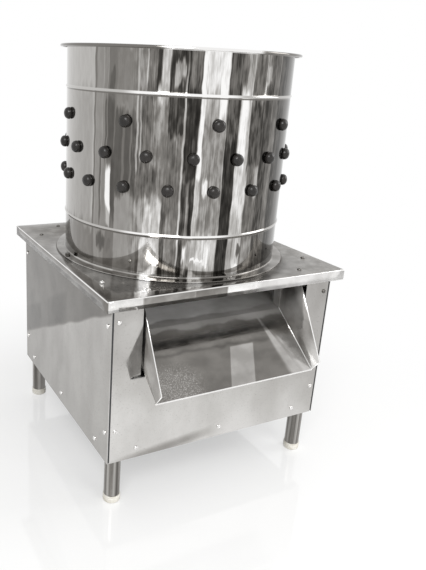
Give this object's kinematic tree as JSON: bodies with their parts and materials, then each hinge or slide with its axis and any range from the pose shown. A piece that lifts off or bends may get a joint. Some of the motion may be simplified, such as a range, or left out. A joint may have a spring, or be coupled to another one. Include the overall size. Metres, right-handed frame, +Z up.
{
  "type": "poultry plucker",
  "caption": "Drum poultry plucker: rubber-fingered drum and belt-driven feather plate on a square sheet-metal cabinet with a sloping front chute.",
  "frame": {"origin": "on the floor at the centre of the footprint, which runs from the chute's tip to the back of the top plate; the drum's axis stands 30 mm behind it", "axes": "+Z up along the drum's axis, -Y towards the chute, +X to the right seen from the chute's side"},
  "size_m": [0.587, 0.647, 0.934],
  "materials": {
    "polished_plate": "polished stainless sheet",
    "drum_steel": "mirror-polished stainless sheet",
    "panel_steel": "satin stainless sheet, smudged",
    "chute_steel": "bright stainless sheet",
    "leg_steel": "polished stainless tube",
    "foot_plastic": "pale moulded plastic",
    "frame_paint": "dark grey paint on angle iron",
    "finger_rubber": "moulded black rubber, slight sheen",
    "seal_rubber": "matt black rubber",
    "machine_iron": "cast iron, machined faces",
    "motor_paint": "grey-blue enamel",
    "bright_steel": "ground steel",
    "fastener_steel": "bright stainless fasteners",
    "disc_steel": "stainless plate",
    "box_plastic": "dark moulded plastic",
    "fan_plastic": "pale moulded plastic",
    "start_green": "green moulded plastic",
    "stop_red": "red moulded plastic"
  },
  "bodies": {
    "cabinet": {"top_plate": "polished_plate", "front_panel": "panel_steel", "back_panel": "panel_steel", "left_panel": "panel_steel", "right_panel": "panel_steel", "bottom_frame": "frame_paint", "corner_posts": "frame_paint", "top_frame": "frame_paint", "side_rails": "frame_paint", "cross_rails": "frame_paint", "leg_front_left": "leg_steel", "leg_front_right": "leg_steel", "leg_rear_left": "leg_steel", "leg_rear_right": "leg_steel", "foot_front_left": "foot_plastic", "foot_front_right": "foot_plastic", "foot_rear_left": "foot_plastic", "foot_rear_right": "foot_plastic", "drum_shell": "drum_steel", "drum_flange": "polished_plate", "drum_fingers_upper": "finger_rubber", "drum_fingers_middle": "finger_rubber", "drum_fingers_lower": "finger_rubber", "discharge_chute": "chute_steel", "feather_tray": "chute_steel", "tray_collar": "chute_steel", "bearing_housing": "machine_iron", "upper_bearing": "bright_steel", "lower_bearing": "bright_steel", "v_belt": "seal_rubber", "motor_plate": "frame_paint", "motor_flange": "motor_paint", "motor_body": "motor_paint", "fan_cover": "motor_paint", "terminal_box": "motor_paint", "switch_box": "box_plastic", "switch_cover": "box_plastic", "switch_block": "box_plastic", "cable_gland": "seal_rubber", "top_plate_screws": "fastener_steel", "panel_screws": "fastener_steel", "flange_bolts": "fastener_steel", "bearing_bolts": "fastener_steel", "motor_bolts": "fastener_steel", "switch_screws": "fastener_steel", "start_spring": "bright_steel", "stop_spring": "bright_steel"},
    "feather_plate": {"feather_plate": "disc_steel", "plate_fingers": "finger_rubber", "plate_hub": "machine_iron", "hub_bolts": "fastener_steel", "centre_nut": "fastener_steel", "main_shaft": "bright_steel", "water_slinger": "seal_rubber", "large_pulley": "machine_iron"},
    "motor_rotor": {"motor_shaft": "bright_steel", "motor_fan": "fan_plastic", "motor_pulley": "machine_iron"},
    "start_button": {"start_button": "start_green"},
    "stop_button": {"stop_button": "stop_red"}
  },
  "joints": [
    {"name": "plate_spin", "type": "hinge", "parent": "cabinet", "child": "feather_plate", "pos_m": [0, 0.03, 0.5], "axis": [0, 0, 1], "continuous": true},
    {"name": "motor_spin", "type": "hinge", "parent": "cabinet", "child": "motor_rotor", "pos_m": [0, 0.208, 0.3], "axis": [0, 0, 1], "continuous": true},
    {"name": "start_press", "type": "slide", "parent": "cabinet", "child": "start_button", "axis": [-1, 0, 0], "range_m": [0, 0.004], "stiffness_N_per_m": 600, "springref_m": -0.001, "deforming": ["start_spring"]},
    {"name": "stop_press", "type": "slide", "parent": "cabinet", "child": "stop_button", "axis": [-1, 0, 0], "range_m": [0, 0.004], "stiffness_N_per_m": 600, "springref_m": -0.001, "deforming": ["stop_spring"]}
  ],
  "couplings": [
    {"joint": "motor_spin", "follows": "plate_spin", "ratio": 4.3333}
  ]
}
